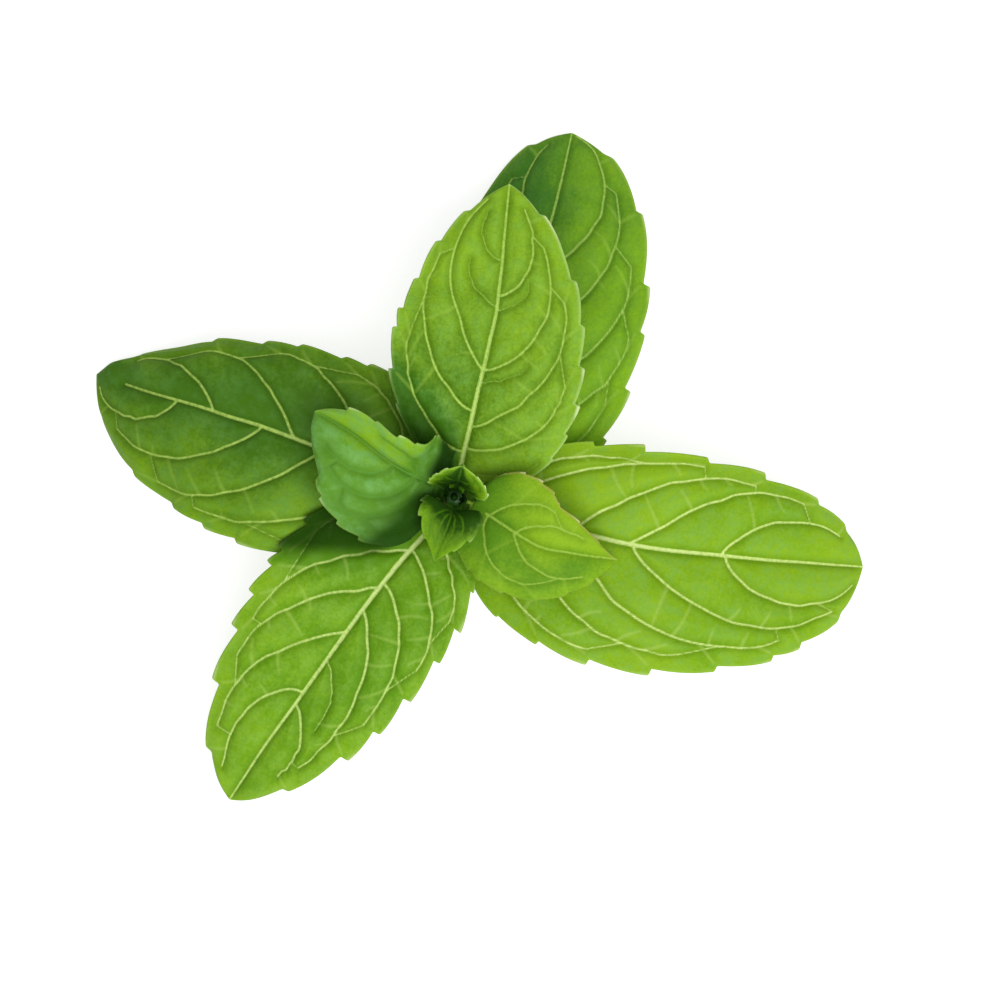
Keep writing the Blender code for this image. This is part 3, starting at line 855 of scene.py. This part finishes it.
second_left = dict(
    BIG, seed=3, grid=(240, 144), azimuth=161, tooth=0.6, notch=0.03, droop=0.5, rib_end=0.9,
    spine=[(1.9, 0, 7), (9.2, -0.1, 9), (17.1, -0.3, 9.5), (24.8, -0.3, 8), (31.9, 0, 5),
           (38.7, 0.1, 0.3)],
    left=(11.3, 0.4, 0.55, 5), fold_left=[12, 10, 4], curl_left=[-10, -14, -20],
    right=(9.3, 0.25, 0.62, 4), fold_right=[8, 4, -6], curl_right=[-14, -20, -24],
    teeth_left=[0.15, 0.288, 0.429, 0.528, 0.647, 0.786, 0.948],
    teeth_right=[0.12, 0.263, 0.33, 0.446, 0.542, 0.675, 0.899],
    veins_left=[(0.02, 0.3, 0.9, 0.55), (0.11, 0.47, 0.91, 0.76), (0.31, 0.41, 0.89, 0.96),
                (0.48, 0.4, 0.73, 0.89), (0.73, 0.25, 0.55, 0.81)],
    veins_right=[(0, 0.15, 0.9, 0.5), (0.08, 0.22, 0.88, 0.85), (0.2, 0.3, 0.9, 0.94),
                 (0.39, 0.31, 0.83, 1.1), (0.62, 0.28, 0.75, 0.95)],
    # Painted shade: the middle and the upper half are darker, most of all at the foot.
    tone_left=[0.85, 1.0, 0.8, 0.9, 0.8], tone_right=[0.95, 0.7, 0.4, 0.5, 0.45], core=0.6,
    dusk_right=(0.06, 0.08, 0.5),
)
finish = leaf_finish(
    "blue-green leaf skin with painted shade", fresh=(0.18, 0.35, 0.010), deep=(0.055, 0.155, 0.006),
    bloom_and_sheen=(0.09, 0.25, 0.055), vein=(0.42, 0.60, 0.12), rim=(0.26, 0.46, 0.03),
    amounts=(0.5, 0.35, 0.9), glow=(0.26, 0.46, 0.01),
)
add_leaf("second_leaf_left", "leaf_2_left", second_left, finish)

# ------------------------------------------------
# The third pair, one leaf to the front and one held high at the back, crossed over the
# pair below. They are full-grown, a fresh mid green, with clear pale midribs.

third_front = dict(
    BIG, seed=4, grid=(240, 136), azimuth=232, lobe=0.6, tooth=1.1, rib=0.19,
    spine=[(1.8, 0.2, 10), (8.8, -0.3, 11.5), (16.4, -0.3, 11), (24.1, 0.1, 8.5),
           (31.5, 0.3, 5), (38.5, 0.8, 0.3)],
    left=(8.6, 0.36, 0.66, 5), fold_left=[12, 10, 6],
    right=(9.6, 0.36, 0.62, 3), fold_right=[-6, 10, 6],
    teeth_left=[0.02, 0.099, 0.21, 0.314, 0.452, 0.565, 0.675, 0.863],
    teeth_right=[0.15, 0.24, 0.325, 0.371, 0.449, 0.553, 0.713, 0.885],
    veins_left=[(0.02, 0.2, 0.93, 1.1), (0.13, 0.25, 0.93, 0.75), (0.25, 0.33, 0.86, 0.65),
                (0.34, 0.45, 0.75, 0.75), (0.505, 0.17, 0.45, 0.8), (0.65, 0.2, 0.62, 0.8)],
    veins_right=[(0, 0.25, 0.9, 0.6), (0.135, 0.38, 0.91, 1.06), (0.265, 0.36, 0.9, 1.2),
                 (0.415, 0.41, 0.88, 1.02), (0.61, 0.31, 0.65, 0.63)],
    tone_left=[0.2, 0.35, 0.4, 0.5, 0.65], tone_right=[0.3, 0.45, 0.55, 0.55, 0.65],
    # Painted shadow of the hooded leaf above, across the foot of the right half.
    dusk_right=(0.17, 0.19, 1.8),
)
finish = leaf_finish(
    "fresh green leaf skin, front", fresh=(0.235, 0.43, 0.013), deep=(0.10, 0.26, 0.005),
    bloom_and_sheen=(0.19, 0.39, 0.08), vein=(0.54, 0.70, 0.20), rim=(0.30, 0.50, 0.05),
    amounts=(0.3, 0.36, 1.1), glow=(0.31, 0.55, 0.01),
)
add_leaf("third_leaf_front", "leaf_3_front", third_front, finish)

third_back = dict(
    BIG, seed=5, grid=(220, 130), azimuth=80, lobe=0.8, tooth=0.7, swell=0.4, rim_right=0.65,
    rib=0.18, side_vein=0.04, free_vein=0.02,
    spine=[(1.8, 0, 10), (7.2, -0.3, 12.2), (13, -0.6, 13.6), (19, -0.9, 14.4),
           (25.1, -0.5, 14.6), (31.3, 0, 14)],
    left=(9.1, 0.65, 0.78, 2), fold_left=[12, 8, 4],
    right=(9.5, 0.36, 0.71, 4.5), fold_right=[12, 8, 4],
    teeth_left=[0.2, 0.31, 0.44, 0.513, 0.651, 0.781, 0.889],
    teeth_right=[0.142, 0.228, 0.328, 0.459, 0.573, 0.694, 0.895],
    veins_left=[(0, 0.14, 0.92, 0.52), (0.09, 0.35, 0.87, 0.5), (0.24, 0.51, 0.9, 0.68),
                (0.385, 0.56, 0.82, 1), (0.6, 0.15, 0.45, 0.8), (0.75, 0.16, 0.5, 0.71)],
    veins_right=[(0.01, 0.12, 0.92, 0.75), (0.105, 0.28, 0.87, 0.57), (0.185, 0.45, 0.84, 0.82),
                 (0.34, 0.1, 0.45, 1), (0.385, 0.42, 0.73, 0.72), (0.585, 0.1, 0.4, 1),
                 (0.635, 0.29, 0.61, 0.73)],
    # Painted shade at the foot of the left half and painted light at the foot of the right half;
    # the bright right edge is a painted highlight.
    tone_left=[0.0, 0.4, 0.6, 0.75, 0.85], tone_right=[1.0, 0.6, 0.7, 0.75, 0.9],
    dusk_left=(0.08, 0.3, 0.75),
)
finish = leaf_finish(
    "fresh green leaf skin, back", fresh=(0.262, 0.465, 0.014), deep=(0.045, 0.15, 0.003),
    bloom_and_sheen=(0.15, 0.36, 0.07), vein=(0.42, 0.62, 0.11), rim=(0.42, 0.62, 0.18),
    amounts=(0.5, 0.32, 0.8), glow=(0.30, 0.54, 0.01),
)
add_leaf("third_leaf_back", "leaf_3_back", third_back, finish)

# ------------------------------------------------
# The fourth pair, half grown and still cupped. The left one is hooded, with its right half
# rolled up to a fine edge with a painted highlight, and painted shade darkens it towards the
# stem; the right one is keeled like a boat and paler, with painted shade at its foot.

HALF_GROWN = dict(
    BIG, stalk=(0.02, 1.0), depth=0.6, keel=0.3, thin=0.9, root=0.9, kink=0.08, wave=0.1,
)
fourth_left = dict(
    HALF_GROWN, seed=6, grid=(170, 110), azimuth=148, lobe=0.4, tooth=0.6, notch=0.03,
    swell=0.34, rib=0.04, rib_start=0.1, side_vein=0.02, rim_left=0.4, rim_right=0.4,
    spine=[(1.6, -0.1, 12.4), (4.6, 0.4, 13.9), (7.8, 0.4, 14.9), (11.9, 0, 15.5),
           (16.1, 0.1, 15)],
    left=(8.1, 0.34, 0.6, 4), fold_left=[24, 20, 14, 8], curl_left=[-40, -50, -36],
    right=(4.4, 0.3, 0.8, 4), fold_right=[10, 16, 24, 56, 62, 60, 50, 40, 30],
    curl_right=[-20, -20, -16],
    teeth_left=[0.05, 0.19, 0.31, 0.47, 0.62, 0.76],
    teeth_right=[0.08, 0.13, 0.19, 0.24, 0.4, 0.52, 0.66, 0.8],
    veins_left=[(0.02, 0.25, 0.85, 0.6), (0.14, 0.4, 0.83, 0.71), (0.22, 0.53, 0.67, 0.65),
                (0.42, 0.42, 0.5, 0.7)],
    veins_right=[(0.2, 0.4, 0.7, 0.8)],
    # Painted shade: the tone falls below 0 towards the stem and along the drooping left margin.
    tone_left=[-1.0, -0.65, -0.2, -0.2, -0.5], tone_right=[-0.9, 0.0, 0.7, 0.75, 0.4],
    core=-0.3, dusk_left=(0.16, 0.1, 0.6), dusk_right=(0.15, 0, 0.8),
)
finish = leaf_finish(
    "hooded leaf skin", fresh=(0.24, 0.45, 0.010), deep=(0.11, 0.29, 0.020),
    bloom_and_sheen=(0.17, 0.40, 0.09), vein=(0.10, 0.28, 0.030), rim=(0.30, 0.50, 0.08),
    amounts=(1.1, 0.1, 0.9), glow=(0.26, 0.50, 0.01),
)
add_leaf("fourth_leaf_left", "leaf_4_left", fourth_left, finish)

fourth_right = dict(
    HALF_GROWN, seed=7, grid=(170, 100), azimuth=-20, lobe=0.5, tooth=0.3, swell=0.16,
    rib=0.08, rib_start=0.13, side_vein=0.035, rim_left=0.8, rim_right=0.1,
    spine=[(1.6, 0, 12.4), (5.3, -0.9, 13.7), (9.4, -1.7, 14.2), (13.5, -1.1, 13.6),
           (17.3, -0.3, 12)],
    left=(5.7, 0.5, 1.2, 2), fold_left=[28, 26, 18], curl_left=[-25, -30, -20],
    right=(5.8, 0.4, 0.81, 4), fold_right=[8, 10, 8], curl_right=[-20, -24, -16],
    teeth_left=[0.1, 0.2, 0.3, 0.42, 0.55, 0.7, 0.85],
    teeth_right=[0.1, 0.2, 0.3, 0.42, 0.55, 0.7, 0.85],
    veins_left=[(0.14, 0.4, 0.8, 0.9), (0.34, 0.4, 0.6, 0.65)],
    veins_right=[(0.13, 0.36, 0.76, 0.6), (0.32, 0.46, 0.65, 1.08)],
    # Painted shade at the foot of both halves, by the dark pit; the bright left edge is a
    # painted highlight.
    tone_left=[-0.1, 0.45, 0.9, 0.95, 0.9], tone_right=[0.0, 0.3, 0.42, 0.48, 0.6],
    dusk_left=(0.05, 0, 1.5), dusk_right=(0.05, 0, 1.5),
)
finish = leaf_finish(
    "keeled leaf skin", fresh=(0.262, 0.46, 0.011), deep=(0.10, 0.26, 0.010),
    bloom_and_sheen=(0.19, 0.36, 0.03), vein=(0.32, 0.51, 0.06), rim=(0.38, 0.36, 0.08),
    amounts=(0.2, 0.3, 0.9), glow=(0.32, 0.56, 0.01),
)
add_leaf("fourth_leaf_right", "leaf_4_right", fourth_right, finish)

# ------------------------------------------------
# The fifth and sixth pairs are the newest, still folding away from the tip: small keeled
# blades whose bright rim is a painted highlight and whose dark inside is painted shade, and
# between them two scales hardly opened, coloured near black as painted shade.

YOUNG_VEINS = [(0.05, 0.4, 0.8, 0.7), (0.3, 0.4, 0.7, 0.8)]
YOUNG = dict(
    BIG, stalk=(0.04, 0.8), depth=0.4, keel=0.2, thin=0.75, root=0.5, rib=0.08,
    side_vein=0.04, kink=0.04, swell=0.07, wave=0.05, rim_left=0.7, rim_right=0.7,
    teeth_left=[0.2, 0.4, 0.6, 0.8], teeth_right=[0.15, 0.35, 0.55, 0.75],
    veins_left=YOUNG_VEINS, veins_right=YOUNG_VEINS,
)
FOOT_VEINS = [(0, 0.75, 0.35, 1.2), (0, 0.6, 0.7, 1)]
SCALE = dict(
    YOUNG, grid=(40, 24), stalk=(0.12, 0.2), lobe=0.0, depth=0.22, keel=0.08, thin=0.6,
    root=0.3, rib=0.05, side_vein=0.02, kink=0.01, swell=0.02, wave=0.0, tooth=0.05,
    droop=0.0, rim_left=0, rim_right=0,
    fold_left=[30, 30, 20], curl_left=[10, 10, 10], left=(0.7, 0.4, 0.7, 0.3),
    fold_right=[30, 30, 20], curl_right=[10, 10, 10], right=(0.7, 0.4, 0.7, 0.3),
    tone_left=[-0.5, -0.5, -0.4, 0.0], tone_right=[-0.5, -0.5, -0.4, 0.0],
)
# The young leaves' tones carry painted shade at the foot and inside, and their bright edges are
# a painted highlight.
young_leaves = {
    "leaf_5_front": dict(
        YOUNG, seed=8, grid=(100, 64), azimuth=252, lobe=0.6, tooth=0.4, swell=0.1, rib=0.05,
        spine=[(1.2, 0.3, 13.8), (2.6, 0.3, 14.9), (4.6, 0.2, 15.1), (6.7, 0.1, 14.1)],
        left=(3, 0.2, 1, 2.6), fold_left=[36, 22, 10], curl_left=[-30, -30, -20],
        right=(3.2, 0.2, 1, 3), fold_right=[36, 22, 10], curl_right=[-30, -30, -20],
        teeth_left=[0.2, 0.47, 0.72], teeth_right=[0.12, 0.37, 0.68],
        veins_left=FOOT_VEINS, veins_right=FOOT_VEINS, rim_left=0.2, rim_right=0.2,
        tone_left=[-0.7, 0.2, 0.8, 1], tone_right=[-0.7, 0.4, 1, 1.2], core=0.3),
    "leaf_5_back": dict(
        YOUNG, seed=9, grid=(90, 60), azimuth=75, lobe=0.0, tooth=0.2,
        spine=[(1.3, 0, 13.8), (1.7, 0, 15.2), (2.3, 0, 16.5), (3.1, 0, 17.5)],
        left=(2.9, 0.3, 0.9, 1.6), fold_left=[22, 16, 8], curl_left=[0, 0, 0],
        right=(3.2, 0.25, 0.85, 2.4), fold_right=[28, 12, 2], curl_right=[0, 0, 0],
        tone_left=[0.4, 0.8, 1, 1.2], tone_right=[0.6, 1.3, 1.6, 1.6], core=1.7),
    "leaf_6_left": dict(
        SCALE, seed=10, azimuth=162,
        spine=[(0.9, 0, 14.8), (0.95, 0, 15.4), (1, 0, 16), (1.1, 0, 16.6)]),
    "leaf_6_right": dict(
        SCALE, seed=11, azimuth=-18, left=(0.6, 0.4, 0.7, 0.3), right=(0.6, 0.4, 0.7, 0.3),
        spine=[(0.9, 0, 14.8), (0.95, 0, 15.3), (1, 0, 15.8), (1.1, 0, 16.3)]),
}
young_finish = leaf_finish(
    "young leaf skin", fresh=(0.19, 0.40, 0.008), deep=(0.02, 0.075, 0.002),
    bloom_and_sheen=(0.08, 0.22, 0.02), vein=(0.075, 0.21, 0.005), rim=(0.33, 0.55, 0.08),
    amounts=(0.15, 0.1, 0.8), glow=(0.10, 0.25, 0.004),
)
# Near-black colours: painted shade deep among the young leaves.
painted_shade_scale_finish = leaf_finish(
    "scale skin in painted shade", fresh=(0.008, 0.03, 0.001), deep=(0.003, 0.014, 0.001),
    bloom_and_sheen=(0.008, 0.03, 0.003), vein=(0.008, 0.03, 0.001), rim=(0.012, 0.045, 0.002),
    amounts=(0.1, 0.1, 0.8), glow=(0.01, 0.03, 0.001), gloss=0.02,
)
for node, leaf in young_leaves.items():
    finish = painted_shade_scale_finish if "leaf_6" in node else young_finish
    add_leaf("young_" + node, node, leaf, finish)

# ------------------------------------------------
# The buds: one at the very tip and one in the corner above each leaf stalk. Each is a
# tight pointed oval of scales in crossed pairs, more matt than the leaves. The tip bud is
# coloured near black as painted shade; the others are a darker green than the leaves.

BUD_SIDES = 40
BUD_RINGS = 36
BUD_LAYERS = 3.2
BUD_LEAN = 0.2
BUD_FILL = 0.95
# Near-black colours for the tip bud: painted shade deep among the young leaves.
PAINTED_SHADE_SCALES = ((0.002, 0.012, 0.0004, 1), (0.006, 0.028, 0.001, 1), (0.010, 0.038, 0.002, 1))
GREEN = ((0.04, 0.12, 0.005, 1), (0.10, 0.24, 0.015, 1), (0.20, 0.38, 0.04, 1))

bud_finishes = []
for name, (dark, light, edge) in (("bud scales in painted shade", PAINTED_SHADE_SCALES), ("green bud scales", GREEN)):
    finish, tree, shader = new_finish(name)
    where = tree.nodes.new("ShaderNodeTexCoord").outputs["Object"]
    mottle = noise(tree, where, 1800, 3)
    grain = noise(tree, where, 9000)
    colour = blend(tree, fade(tree, mottle, 0.3, 0.7), dark, light)
    colour = blend(tree, field(tree, "edge").outputs["Fac"], colour, edge)
    tree.links.new(colour, shader.inputs["Base Color"])
    tree.links.new(product(tree, grain, 0.2, 0.55), shader.inputs["Roughness"])
    shader.inputs["Specular IOR Level"].default_value = 0.03
    rough_skin(tree, shader, grain, SKIN_RELIEF * MM)
    bud_finishes.append(finish)

for node in sorted(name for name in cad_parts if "bud" in name):
    low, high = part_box(node)
    bpy.ops.object.select_all(action="DESELECT")
    bpy.ops.mesh.primitive_uv_sphere_add(segments=BUD_SIDES, ring_count=BUD_RINGS, radius=MM)
    bud = bpy.context.object
    bud.name = "scaly_" + node
    points = read_points(bud.data)
    angle = np.arctan2(points[:, 1], points[:, 0])
    rise = (points[:, 2] + 1) / 2
    plump = np.sqrt(np.clip(rise, 0, 1)) * np.clip(1 - rise, 0, 1) ** 0.75 * 1.75
    layer = rise * BUD_LAYERS
    step = layer - np.floor(layer)
    facing = np.abs(np.cos(angle + np.floor(layer) * math.pi / 2))
    overlap = (1 - step) * (0.35 + 0.65 * facing)
    plump *= 0.82 + 0.2 * overlap
    edge = smooth_step(step, 0.75, 0.98) * facing
    shaped = np.stack([plump * np.cos(angle), plump * np.sin(angle), 2 * rise - 1], 1)
    extent = np.array(high - low) / 2 / MM
    centre = np.array(high + low) / 2 / MM
    lean = np.zeros_like(shaped)
    from_stem = np.array([centre[0] - STEM_X / MM, centre[1] - STEM_Y / MM, 0.0])
    apart = np.hypot(*from_stem[:2])
    if apart > STEM_TOP_RADIUS:
        lean = (rise - 0.5)[:, None] * BUD_LEAN * from_stem / apart
    width = min(extent[0], extent[1]) * BUD_FILL
    write_points(bud.data, shaped * [width, width, extent[2]] + lean + centre)
    store(bud.data, "edge", edge)
    bpy.ops.object.shade_smooth()
    bud.data.materials.append(bud_finishes["leaf" in node])
    settle(bud, node)

# ------------------------------------------------
# The table: one plain, matt, near-white sheet under the shoot, which lies on it loose.

bpy.ops.object.select_all(action="DESELECT")
bpy.ops.mesh.primitive_plane_add(size=6, location=(0, 0, 0))
table = bpy.context.object
table.name = "pale_table"
TABLE_GREY = (0.36, 0.36, 0.36, 1)
TABLE_PALE = (0.38, 0.38, 0.38, 1)
table_finish, tree, shader = new_finish("pale matt table")
where = tree.nodes.new("ShaderNodeTexCoord").outputs["Object"]
mottle = noise(tree, where, 40)
colour = blend(tree, mottle, TABLE_GREY, TABLE_PALE)
tree.links.new(colour, shader.inputs["Base Color"])
shader.inputs["Roughness"].default_value = 0.9
shader.inputs["Emission Color"].default_value = (1, 1, 1, 1)
shader.inputs["Emission Strength"].default_value = 0.75
table.data.materials.append(table_finish)
table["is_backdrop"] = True

# ------------------------------------------------
# Light: an even white dome, and one large soft lamp high on the right, towards the front.
# The camera hangs straight above the shoot and looks down at it.

world = bpy.data.worlds.new("white dome")
world.use_nodes = True
sky = world.node_tree.nodes["Background"].inputs
sky["Color"].default_value = (1, 1, 1, 1)
sky["Strength"].default_value = 0.54
bpy.context.scene.world = world

LAMP_PLACE = (0.2, -0.34, 0.75)
bpy.ops.object.light_add(type="AREA", location=LAMP_PLACE)
lamp = bpy.context.object
lamp.name = "large_soft_lamp"
lamp.data.shape = "DISK"
lamp.data.size = 1.0
lamp.data.energy = 9.1
lamp_tilt = math.atan2(math.hypot(LAMP_PLACE[0], LAMP_PLACE[1]), LAMP_PLACE[2])
lamp.rotation_euler = (lamp_tilt, 0, math.atan2(LAMP_PLACE[0], -LAMP_PLACE[1]))

CAMERA_RIGHT = 4.5 * MM
CAMERA_FRONT = 0.3 * MM
CAMERA_HEIGHT = 408 * MM
bpy.ops.object.camera_add(location=(STEM_X + CAMERA_RIGHT, STEM_Y - CAMERA_FRONT, CAMERA_HEIGHT))
camera = bpy.context.object
camera.name = "overhead_camera"
camera.data.lens = 144
camera.data.sensor_width = 36
camera.data.clip_start = 0.01
bpy.context.scene.camera = camera
bpy.context.scene.view_settings.view_transform = "Standard"

low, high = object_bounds()
